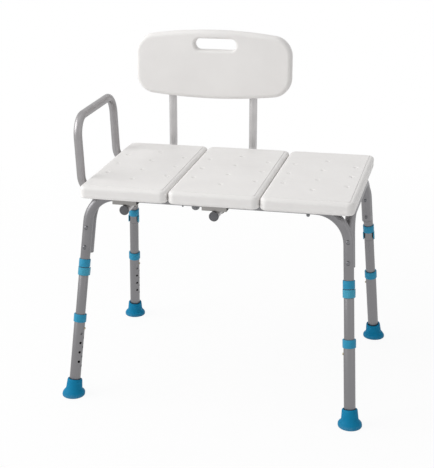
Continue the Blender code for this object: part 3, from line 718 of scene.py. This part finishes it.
def make_frame():
    for end in ENDS:
        dress(bent_tube(rail_corners(end), BEND_RAIL, R_FRAME), f"rail_{end}")
    shade_plug_r = R_FRAME - 0.0002
    for side in ("left", "right"):
        corners = side_corners("front_" + side, "rear_" + side)
        tube = bent_tube(corners, (BEND_SIDE,) * 2, R_FRAME)
        # the dark grey plugs at the side tube's ends are painted shade: a dark piece standing in
        # for the shadow under the open tube ends
        plug = turned([(0, -0.010), (R_FRAME - WALL, -0.010), (R_FRAME - WALL, 0.0),
                       (shade_plug_r, 0.0001), (shade_plug_r, 0.0011), (R_FRAME - 0.0012, 0.0019),
                       (0, 0.0021)])
        ends = [copy_of(plug, aimed(a, a - b, (1, 0, 0)))
                for a, b in (corners[:2], corners[:-3:-1])]
        remove(plug)
        dress(two_looks([tube], ends, "dark_plastic"), f"side_tube_{side}")


# seat panels

def drain_cutter(x, y):
    """Funnel from below, narrow hole, shallow dish on top."""
    steps = 5
    lip = [(HOLE_R + (DISH_R - HOLE_R) * k / steps,
            PANEL_T - DISH_DEEP * (1 + math.cos(math.pi * k / steps)) / 2)
           for k in range(steps + 1)]
    profile = [(0, -0.002), (FUNNEL_R, -0.002), (FUNNEL_R, 0.0003), (HOLE_R + 0.0012, FUNNEL_H),
               (HOLE_R, FUNNEL_H + 0.002)] + lip + [(DISH_R + 0.0006, PANEL_T + 0.001),
                                                   (0, PANEL_T + 0.001)]
    return placed(turned(profile, 20), (x, y, Z_BOT))


def seat_panel(node, cx):
    w, d = PANEL_W / 2 + PANEL_SWELL, PANEL_D / 2
    z_margin = Z_SEAT - FIELD_UP
    ob = block((cx - w, -d, Z_BOT), (cx + w, d, z_margin))
    edit(ob)
    rounded(ob, runs_along(2), PANEL_CORNER, 8)
    for z in (SEAM_UP - SEAM_W / 2, SEAM_UP + SEAM_W / 2):
        sliced((0, 0, Z_BOT + z), (0, 0, 1))
    pick(ob, "FACE", lambda f: abs(f.calc_center_median().z - Z_BOT - SEAM_UP) < SEAM_W * 0.4)
    bpy.ops.transform.shrink_fatten(value=-SEAM_DEEP, use_even_offset=True)
    rounded(ob, level(z_margin), RIM_ROUND, 9)
    rounded(ob, level(Z_BOT), UNDER_ROUND, 6)
    inset(ob, lambda f: f.normal.z > 0.999, ((FIELD_IN - FIELD_BAND, 0), (FIELD_BAND, 0),
                                             (FIELD_SLOPE, FIELD_UP), (0.0006, 0)))
    inset(ob, lambda f: f.normal.z < -0.999, ((0.0080, 0), (0.0020, -0.0012), (0.0010, 0)))
    clear()
    if "middle" in node:
        low = -KNOB_DROP + FIT
        boss = turned([(0, low), (0.0078, low), (0.0086, -KNOB_DROP + 0.0012), (0.0094, -0.004),
                       (0.0120, 0.004), (0, 0.004)])
        cut(ob, placed(boss, (KNOB_X, KNOB_Y, Z_BOT)), "UNION")
    tools = [drain_cutter(cx + dx, y * HOLE_DY) for dx, ys in
             ((-HOLE_DX, (-1, 0, 1)), (0, (-1.5, -0.5, 0.5, 1.5)), (HOLE_DX, (-1, 0, 1)))
             for y in ys]
    for end, sy in ENDS.items():
        tools.append(bent_bar(rail_corners(end), BEND_RAIL, R_FRAME + GROOVE_AIR))
        if "left" in node:
            tools.append(bent_bar(arm_corners(sy), (BEND_ARM,), R_ARM + NOTCH_AIR))
    for tool in tools:
        cut(ob, tool)
    dress(ob, node, angle=38)
    flat_fields(ob)


def arm_corners(sy):
    return [(-ARM_END, sy * ARM_Y, Z_ARM_RUN), (-ARM_X, sy * ARM_Y, Z_ARM_RUN),
            (ARM_TOP_X, sy * ARM_Y, Z_ARM_TOP)]


def make_seat():
    for k, side in enumerate(("left", "middle", "right")):
        seat_panel(f"seat_panel_{side}", (k - 1) * PANEL_PITCH)


# legs

def foot_model():
    """Flared tip about +Z with a rounded lip and ring treads underneath."""
    bore = R_LOWER + 0.0002
    tread = [(0, 0.0010), (0.0052, 0.0010)]
    for r in (0.0058, 0.0128, 0.0198):
        tread += [(r, 0), (r + 0.0040, 0), (r + 0.0046, 0.0014), (r + 0.0064, 0.0014)]
    rim = [(0.0262, 0), (0.0284, 0.0003), (0.0293, 0.0012), (FOOT_R, 0.0030), (FOOT_R, 0.0056),
           (0.0293, 0.0082), (0.0279, 0.0106), (0.0256, 0.0130), (0.0234, 0.0151),
           (0.0220, 0.0174), (0.0213, 0.0202), (0.0210, 0.0235)]
    lip = [(0.0196, FOOT_H - 0.0040), (0.0193, FOOT_H - 0.0022), (0.0185, FOOT_H - 0.0007),
           (0.0173, FOOT_H), (0.0160, FOOT_H - 0.0003), (0.0150, FOOT_H - 0.0012),
           (bore, FOOT_H - 0.0028)]
    return turned(tread + rim + lip + [(bore, FOOT_FLOOR), (0, FOOT_FLOOR)], 56)


def lean(ob, leg):
    """Stand an upright foot on the floor and lean its sleeve along the leg."""
    axis = leg_frame(leg)[0]
    base = leg_point(leg, 0.0)
    tilt = Vector((0, 0, 1)).rotation_difference(axis)
    edit(ob)
    bm = bmesh.from_edit_mesh(ob.data)
    for v in bm.verts:
        share = min(1.0, max(0.0, (v.co.z - FOOT_FLAT) / FOOT_TURN))
        share = share * share * (3 - 2 * share)
        flat = Vector((v.co.x, v.co.y, 0))
        ring_part = flat.lerp(tilt @ flat, share)
        v.co = base + axis * (v.co.z / axis.z) + ring_part
    bmesh.update_edit_mesh(ob.data)
    clear()
    return ob


def sleeve_model(height, bore, wall, lip=None):
    """Short collar about +Z with softened edges; a lip closes in at its top."""
    e, r = 0.0009, bore + wall
    profile = [(bore, 0), (r - e, 0), (r - e * 0.3, e * 0.3), (r, e), (r, height - e),
               (r - e * 0.3, height - e * 0.3), (r - e, height)]
    inner = [(bore, height)] if lip is None else [(lip + 0.0003, height), (lip, height - 0.0004),
                                                  (lip, height - 0.0016), (bore, height - 0.0016)]
    return turned(profile + inner + [(bore, 0)], 48)


def clip_model():
    """Snap clip about +Z: a U round the tube with its closed side to +X, flared wings behind,
    a thumb wedge on the closed side and a pin inside."""
    f = R_FRAME + FIT
    r, wing = f + CLIP_T, CLIP_WING
    outer, inner = ([(y, x) for x, y in arc(radius, 180, 0, 28)] for radius in (r, f))
    outline = [(-wing, r - 0.0008), (-wing + 0.0015, r)] + outer[::-1] + \
        [(-wing + 0.0015, -r), (-wing, -r + 0.0008), (-wing, -f)] + inner + [(-wing, f)]
    ob = drawn(outline, CLIP_H)
    # lower corners of the wings cut back
    tilt = (Matrix.Translation((-wing, 0, 0.0045)) @ Matrix.Rotation(math.radians(40), 4, "Y")
            @ Matrix.Translation((wing, 0, 0)))
    for side in (-1, 1):
        y = side * (r - 0.02)
        cut(ob, placed(block((-wing - 0.004, y - 0.02, -0.006), (-wing + 0.004, y + 0.02, 0.0)),
                       tilt))
    soften(ob, 0.0006, 3, 50)
    wedge = drawn([(0, -0.0062), (0, 0.0062), (0.0001, 0)], 0.01)
    edit(wedge)
    bm = bmesh.from_edit_mesh(wedge.data)
    low = sorted(bm.verts, key=lambda v: v.co.z)
    for v in low[:3]:
        v.co = (r - 0.0020, v.co.y, 0.0024) if abs(v.co.y) > 0.001 else (r + 0.0010, 0, 0.0040)
    for v in low[3:]:
        v.co = (r - 0.0030, v.co.y * 0.55, CLIP_H - 0.0022)
    bmesh.update_edit_mesh(wedge.data)
    outward(wedge)
    cut(ob, wedge, "UNION")
    pin = rod((f + CLIP_T / 2, 0, CLIP_H / 2), (-1, 0, 0), 0.0077, 0.0028, 16)
    return cut(ob, pin, "UNION")


def button_model():
    """Snap button about +Z at its hole's height, pointing to +X, on its bent leaf spring."""
    near, tip = R_FRAME - WALL - 0.0012, R_LOWER + BUTTON_OUT
    far, half_w, thick = -0.0048, 0.0034, 0.0007
    bend_r, bend_at = 0.0025, (0.0005, -0.0280)
    outer = [(near, 0.0050), (near, -0.0050)] + arc(bend_r, 0, -180, 8, bend_at) + \
        [(far, -0.0050), (far, 0.0040)]
    inner = [(far + thick, 0.0040), (far + thick, -0.0050)] + \
        arc(bend_r - thick, -180, 0, 8, bend_at) + \
        [(near - thick, -0.0050), (near - thick, 0.0050)]
    leaf = placed(drawn(outer + inner, 2 * half_w),
                  Matrix.Translation((0, half_w, 0)) @ Matrix.Rotation(math.pi / 2, 4, "X"))
    out = tip - near
    head = turned([(0, 0), (R_BUTTON, 0), (R_BUTTON, out - 0.0016),
                   (R_BUTTON - 0.0003, out - 0.0008), (R_BUTTON - 0.0010, out - 0.0002),
                   (0, out)], 24)
    head = placed(head, aimed((near - 0.0003, 0, 0), (1, 0, 0), (0, 0, 1)))
    return together([leaf, head])


def leg_tubes(leg):
    axis, inward, _ = leg_frame(leg)
    second = (inward + inward.cross(axis)).normalized()
    button = leg_point(leg, Z_BUTTON)
    low, high = leg_point(leg, Z_BUTTON - MIDDLE_BELOW), leg_point(leg, Z_SEAM - FIT)
    middle = bent_tube([low, high], (), R_FRAME)
    inner = bent_tube([high - axis * NECK_IN, leg_point(leg, Z_SEAM + NECK_UP)], (),
                      R_FRAME - WALL - FIT)
    middle = drilled(middle, [(button, inward)], R_BUTTON + FIT)
    dress(together([middle, inner]), f"middle_tube_{leg}")
    foot_in = leg_point(leg, FOOT_FLOOR + 0.0002)
    top = leg_point(leg, Z_COLLAR + COLLAR_H * RISE - COLLAR_LIP)
    lower = bent_tube([foot_in, top], (), R_LOWER)
    places = [(button - axis * (k * PITCH), inward) for k in range(HOLES)]
    places += [(button - axis * ((k + 0.5) * PITCH), second) for k in range(HOLES - 1)]
    dress(drilled(lower, places, R_BUTTON + FIT), f"lower_tube_{leg}")


def screw_models():
    """Domed outer head with a flange, and the socket-headed inner end, both about +Z."""
    head = turned([(0.0024, -0.0010), (0.0054, -0.0002), (0.0056, 0.0003), (0.0054, 0.0009),
                   (0.0048, 0.0019), (0.0036, 0.0029), (0.0018, 0.0035), (0, 0.0036)], 28)
    inner = turned([(0.0024, -0.0010), (0.0043, -0.0002), (0.0044, 0.0008), (0.0038, 0.0015),
                    (0.0028, 0.0017), (0.0024, 0.0016), (0, 0.0016)], 28)
    socket = drawn(arc(0.0020, 0, 300, 5), 0.006)
    return head, cut(inner, placed(socket, (0, 0, 0.0004)))


def make_legs():
    f = R_FRAME + FIT
    deep = SIDE_STEP + f
    foot = foot_model()
    ring_model = sleeve_model(RING_H, f, RING_T)
    collar = sleeve_model(COLLAR_H, R_LOWER + FIT, COLLAR_T, f)
    clip, button = clip_model(), button_model()
    head, inner_end = screw_models()
    for leg in LEGS:
        axis, _, out = leg_frame(leg)
        leg_tubes(leg)
        dress(copy_of(ring_model, leg_place(leg, Z_RING)), f"frame_collar_{leg}")
        dress(copy_of(collar, leg_place(leg, Z_COLLAR)), f"leg_collar_{leg}")
        dress(copy_of(clip, leg_place(leg, Z_CLIP, "out")), f"lock_clip_{leg}")
        dress(copy_of(button, leg_place(leg, Z_BUTTON)), f"snap_button_{leg}")
        dress(lean(copy_of(foot), leg), f"foot_{leg}", angle=50)
        for z, place in zip(Z_SCREWS[LEGS[leg][0]], ("upper", "lower")):
            p = leg_point(leg, z)
            shank = rod(p - out * deep, out, deep + f, 0.0024, 16)
            screw = together([shank, copy_of(head, aimed(p + out * f, out, axis)),
                              copy_of(inner_end, aimed(p - out * deep, -out, axis))])
            dress(screw, f"corner_screw_{place}_{leg}")
    remove(foot, ring_model, collar, clip, button, head, inner_end)


# backrest

def crown(x, z):
    """How far the back panel's edge bows at x, up on its top half and down on its lower half."""
    bow = CROWN_TOP if z > 0 else -CROWN_LOW
    return bow * (1 - (x / (BP_W / 2)) ** 2)


def back_panel():
    hw, hh = BP_W / 2, BP_H / 2
    y0, y1 = Y_POST - BP_T, Y_POST
    ob = block((BP_X - hw, y0, BP_Z - hh + CROWN_LOW), (BP_X + hw, y1, BP_Z + hh - CROWN_TOP))
    edit(ob)
    rounded(ob, runs_along(1), BP_CORNER, 12)
    for k in range(1, BP_SLICES):
        sliced((BP_X - hw + BP_CORNER + (2 * hw - 2 * BP_CORNER) * k / BP_SLICES, 0, 0),
               (1, 0, 0))
    bm = bmesh.from_edit_mesh(ob.data)
    for v in bm.verts:
        x, z = v.co.x - BP_X, v.co.z - BP_Z
        v.co.z += crown(x, z) * min(1.0, abs(z) / (CROWN_FULL * hh))
    bmesh.update_edit_mesh(ob.data)
    for y, offset, segments in ((y0, 0.0120, 8), (y1, 0.0060, 5)):
        rounded(ob, lambda e: level(y, 1)(e) and len(set(
            f.normal.y < -0.5 or f.normal.y > 0.5 for f in e.link_faces)) == 2, offset, segments)
    clear()
    # handle slot, with a rolled lip in front and a small one behind
    r, half = SLOT_H / 2, (SLOT_L - SLOT_H) / 2

    def stadium(grow, y):
        pts = arc(r + grow, -90, 90, 12, (half, 0)) + arc(r + grow, 90, 270, 12, (-half, 0))
        return [(SLOT_X + u, y, SLOT_Z + v) for u, v in pts]

    levels = [(0.0092, y0 - 0.002), (0.0076, y0 - 0.00002)]
    levels += [(0.0070 * (1 - math.sin(a)), y0 + 0.0075 * (1 - math.cos(a)))
               for a in map(math.radians, (10, 25, 40, 55, 70, 90))]
    levels.append((0.0, y1 - SLOT_BACK))
    levels += [(SLOT_BACK * (1 - math.cos(a)), y1 - SLOT_BACK + SLOT_BACK * math.sin(a))
               for a in map(math.radians, (30, 60, 90))]
    levels.append((0.0034, y1 + 0.001))
    bpy.ops.mesh.primitive_circle_add(vertices=26, fill_type="NGON")
    tool = bpy.context.object
    edit(tool)
    for k, (grow, y) in enumerate(levels):
        if k:
            pull((0, 0.001, 0))
        bm = bmesh.from_edit_mesh(tool.data)
        for v, p in zip([v for v in bm.verts if v.select], stadium(grow, y)):
            v.co = p
        bmesh.update_edit_mesh(tool.data)
    cut(ob, outward(tool))
    for x in BACK_X:
        cut(ob, bent_bar([(x, Y_POST, BP_Z - BP_H), (x, Y_POST, Z_SEAT + POST_H + 0.003)], (),
                         R_BACK + 0.0004))
    dress(ob, "back_panel", angle=38)
    flat_fields(ob)


def back_tube(side, x):
    corners = [(x, Y_BACK_FRONT, Z_BACK_RUN), (x, Y_POST, Z_BACK_RUN),
               (x, Y_POST, Z_SEAT + POST_H)]
    tube = bent_tube(corners, (BEND_BACK,), R_BACK)
    screws = []
    for up in BP_SCREWS:
        model = turned([(0.0020, -0.0160), (0.0020, -0.0002), (0.0042, -0.0002), (0.0043, 0.0002),
                        (0.0038, 0.0012), (0.0026, 0.0019), (0, 0.0021)], 24)
        model = crossed(model, 0.0019, 0.0010, 0.0040)
        screws.append(placed(model, aimed((x, Y_POST + R_BACK, BP_Z + up), (0, 1, 0),
                                          (1, 0, 1))))
    # the posts take the frame's aluminium with its base colour painted lighter, a painted
    # reflection
    dress(two_looks([tube], screws, "screw_steel"), f"back_tube_{side}", "post_aluminium_painted_light")
    r = R_BACK + PLUG_OVER
    plug = turned([(0, -0.0095), (R_BACK - WALL - 0.0002, -0.0095), (R_BACK - WALL, 0),
                   (r - 0.0005, 0.0002), (r, 0.0007), (r, PLUG_T - 0.0014),
                   (r - 0.0004, PLUG_T - 0.0005), (r - 0.0013, PLUG_T), (r - 0.0030, PLUG_T),
                   (r - 0.0034, PLUG_T - 0.0004), (r - 0.0038, PLUG_T), (0, PLUG_T + 0.0002)], 40)
    dress(placed(plug, aimed(corners[0], (0, -1, 0), (1, 0, 0))), f"back_tube_plug_{side}")


def make_backrest():
    back_panel()
    for side, x in zip(("left", "right"), BACK_X):
        back_tube(side, x)


# saddles, straps and their screws

def small_screw(r_head, length):
    """Pan head about +Z, its shank running up, its cross recess below."""
    ob = turned([(0, -0.0017), (r_head * 0.55, -0.0016), (r_head * 0.9, -0.0010),
                 (r_head, -0.0001), (r_head, 0), (0.0019, 0), (0.0019, length), (0, length)], 24)
    return crossed(ob, r_head * 0.55, -0.003, -0.0008)


def hoop(r, wall, ear, length, drop):
    """Strap bent half round under a tube that runs along Z, its ears level with drop in Y."""
    ro = r + wall
    outline = [(-ear, drop), (-ear, drop - wall), (-ro, drop - wall)] + arc(ro, 180, 360, 24) + \
        [(ro, drop - wall), (ear, drop - wall), (ear, drop), (r, drop)] + arc(r, 360, 180, 24) + \
        [(-r, drop)]
    ob = drawn(outline, length)
    soften(ob, angle=50)
    return ob


def saddle(end, side, x):
    sy = ENDS[end]
    z0, z1 = Z_PLATE, Z_PLATE + PLATE_T
    y_in, y_out = sy * PLATE_IN, sy * PLATE_OUT[sy]
    section = [(y_in, z0), (y_in, z1), (y_out - sy * PLATE_T, z1),
               (y_out - sy * PLATE_T, z0 + PLATE_LIP), (y_out, z0 + PLATE_LIP), (y_out, z0)]
    plate = drawn(section, PLATE_W)
    soften(plate, 0.0004, angle=50)
    plate = placed(plate, aimed((x - PLATE_W / 2, 0, 0), (1, 0, 0), (0, 1, 0)))
    r_out = R_BACK + BACK_AIR + HOOP_T
    band = hoop(R_BACK + BACK_AIR, HOOP_T, r_out + HOOP_EAR, HOOP_L, z0 - Z_BACK_RUN)
    band = placed(band, aimed((x, sy * HOOP_Y + HOOP_L / 2, Z_BACK_RUN), (0, -1, 0),
                              (1, 0, 0)))
    screws = [placed(small_screw(0.0044, Z_SEAT - 0.0095 - z0),
                     (x + s * SADDLE_DX, sy * RAIL_Y, z0)) for s in (-1, 1)]
    ears = [placed(small_screw(0.0028, 0.003),
                   (x + s * (r_out + HOOP_EAR * 0.55), sy * HOOP_Y, z0 - HOOP_T))
            for s in (-1, 1)]
    dress(two_looks([plate, band], screws + ears, "screw_steel"), f"saddle_{end}_{side}",
          "plate_aluminium")


def make_hardware():
    for side, x in zip(("left", "middle"), BACK_X):
        for end in ENDS:
            saddle(end, side, x)
    nut = turned([(0.0023, -0.0012), (0.0050, -0.0012), (0.0050, 0.0), (0.0046, 0.0),
                  (0.0046, 0.0030), (0.0044, 0.0034), (0.0040, 0.0048), (0.0028, 0.0062),
                  (0.0012, 0.0068), (0, 0.0069)], 30)
    tip = turned([(0, -0.020), (0.0024, -0.020), (0.0024, 0.0004), (0.0021, 0.0020),
                  (0.0012, 0.0033), (0, 0.0036)], 24)
    for end, sy in ENDS.items():
        for model, x, node in ((nut, NUT_X, "cap_nut"), (tip, TIP_X, "panel_screw")):
            place = aimed((x, sy * RAIL_Y, Z_UNDER_RAIL), (0, 0, -1), (1, 0, 0))
            dress(copy_of(model, place), f"{node}_{end}")
    remove(nut, tip)
    stud_top = KNOB_H + KNOB_DROP + 0.018
    knob = turned([(0, 0), (0.0030, 0.0003), (0.0056, 0.0012), (0.0078, 0.0028),
                   (0.0094, 0.0050), (KNOB_R, 0.0082), (KNOB_R, KNOB_H - 0.0040),
                   (KNOB_R - 0.0006, KNOB_H - 0.0012), (KNOB_R - 0.0020, KNOB_H),
                   (R_STUD, KNOB_H), (R_STUD, stud_top), (0, stud_top)], 48)
    grips, r = [], KNOB_R + 0.0012
    for k in range(KNOB_GRIPS):
        a = 2 * math.pi * k / KNOB_GRIPS
        grips.append(bent_bar([(math.cos(a) * r, math.sin(a) * r, h)
                               for h in (0.0060, KNOB_H + 0.002)], (), 0.0018, sides=16))
    knob = cut(knob, together(grips))
    dress(placed(knob, (KNOB_X, KNOB_Y, Z_BOT - KNOB_DROP - KNOB_H)), "hand_knob")


# hand loop

def make_hand_loop():
    front, rear = arm_corners(-1), arm_corners(1)
    loop = bent_tube(front + rear[::-1], (BEND_ARM,) * 4, R_ARM)
    plugs = []
    for sy in ENDS.values():
        plug = turned([(0.0015, -0.010), (R_ARM - WALL, -0.010), (R_ARM - WALL, 0.0),
                       (R_ARM - 0.0004, 0.0001), (R_ARM - 0.0003, 0.0012),
                       (R_ARM - 0.0012, 0.0026), (0.0019, 0.0028), (0.0015, 0.0024),
                       (0.0015, -0.010)], 32)
        plugs.append(placed(plug, aimed((-ARM_END, sy * ARM_Y, Z_ARM_RUN), (1, 0, 0),
                                        (0, 0, 1))))
    # the hand loop takes the frame's aluminium with its base colour painted lighter, a painted
    # reflection
    dress(two_looks([loop], plugs, "dark_plastic"), "arm_loop", "loop_aluminium_painted_light")
    bore, z_ears = R_ARM + FIT, Z_BOT - FIT
    for end, sy in ENDS.items():
        band = hoop(bore, STRAP_T, bore + STRAP_T + STRAP_EAR, STRAP_L, z_ears - Z_ARM_RUN)
        band = placed(band, aimed((-STRAP_X - STRAP_L / 2, sy * ARM_Y, Z_ARM_RUN), (1, 0, 0),
                                  (0, 1, 0)))
        screws = [placed(small_screw(0.0036, 0.0150),
                         (-STRAP_X, sy * ARM_Y + s * STRAP_DY, z_ears - STRAP_T))
                  for s in (-1, 1)]
        dress(two_looks([band], screws, "screw_steel"), f"arm_strap_{end}", "plate_aluminium")


# room, light and camera

def rays_seen(tree):
    """One for rays from the camera and for those that a reflection or clear piece passes on."""
    path = add(tree, "LightPath").outputs
    passed_on = maths(tree, "MAXIMUM", path["Is Glossy Ray"], path["Is Transmission Ray"])
    return maths(tree, "MAXIMUM", path["Is Camera Ray"], passed_on)


def show_instead(tree, output, share, first, second):
    """Send a share of the second shader to the output in place of the first."""
    mix = add(tree, "MixShader", {0: share, 1: first.outputs[0], 2: second.outputs[0]})
    tree.links.new(mix.outputs[0], tree.nodes[output].inputs[0])


def make_floor():
    """Pale floor that shows white, also in the metal, and keeps a soft shadow."""
    clear()
    bpy.ops.mesh.primitive_plane_add(size=FLOOR_SIZE)
    floor = settled()
    floor.name = "floor"
    mat, shader, place = blank("pale floor", 0.75, specular=0.1)
    shader.inputs["Base Color"].default_value = (0.90, 0.90, 0.90, 1)
    tree = mat.node_tree
    glow = add(tree, "Emission", {"Color": (1, 1, 1, 1), "Strength": 1.0})
    away = add(tree, "VectorMath", {0: place}, operation="LENGTH").outputs["Value"]
    share = times(tree, rays_seen(tree), spread(tree, away, *FLOOR_FADE))
    show_instead(tree, "Material Output", share, shader, glow)
    floor.data.materials.append(mat)


def soft_box(name, at, aim, size, power):
    light = bpy.data.lights.new(name, "AREA")
    light.shape, light.size, light.size_y = "RECTANGLE", *size
    light.energy = power
    ob = bpy.data.objects.new(name, light)
    bpy.context.scene.collection.objects.link(ob)
    ob.location = at
    ob.rotation_euler = (Vector(aim) - Vector(at)).to_track_quat("-Z", "Y").to_euler()


def make_light():
    for name, lamp in LAMPS.items():
        soft_box(name, *lamp)
    world = bpy.data.worlds.new("studio")
    bpy.context.scene.world = world
    world.use_nodes = True
    tree = world.node_tree
    back = tree.nodes["Background"]
    back.inputs[0].default_value = (1.0, 1.0, 1.0, 1)
    side = add(tree, "SeparateXYZ", {0: add(tree, "TexCoord").outputs["Generated"]}).outputs["X"]
    tree.links.new(spread(tree, side, *WORLD_SIDES), back.inputs[1])
    white = add(tree, "Background", {0: (1, 1, 1, 1), 1: 1.0})
    show_instead(tree, "World Output", rays_seen(tree), back, white)


def make_camera():
    """The photograph's camera, from its place, its three turns and its focal length."""
    back = Vector((math.sin(YAW) * math.cos(PITCH_DOWN), -math.cos(YAW) * math.cos(PITCH_DOWN),
                   math.sin(PITCH_DOWN)))
    right = (-back).cross(Vector((0, 0, 1))).normalized()
    up = right.cross(-back)
    c, s = math.cos(ROLL), math.sin(ROLL)
    m = Matrix((right * c + up * s, up * c - right * s, back)).transposed().to_4x4()
    m.translation = Vector(CAMERA_AT)
    data = bpy.data.cameras.new("camera")
    data.sensor_fit, data.sensor_width = "HORIZONTAL", SENSOR_MM
    data.lens = FOCAL_PX * SENSOR_MM / PICTURE_W
    data.shift_x = (PICTURE_W / 2 - CENTRE_PX[0]) / PICTURE_W
    data.shift_y = (CENTRE_PX[1] - PICTURE_H / 2) / PICTURE_W
    ob = bpy.data.objects.new("camera", data)
    bpy.context.scene.collection.objects.link(ob)
    ob.matrix_world = m
    bpy.context.scene.camera = ob


make_camera()
make_light()
make_floor()
make_frame()
make_seat()
make_legs()
make_backrest()
make_hardware()
make_hand_loop()
clear()
bpy.context.scene.view_settings.view_transform = "Standard"
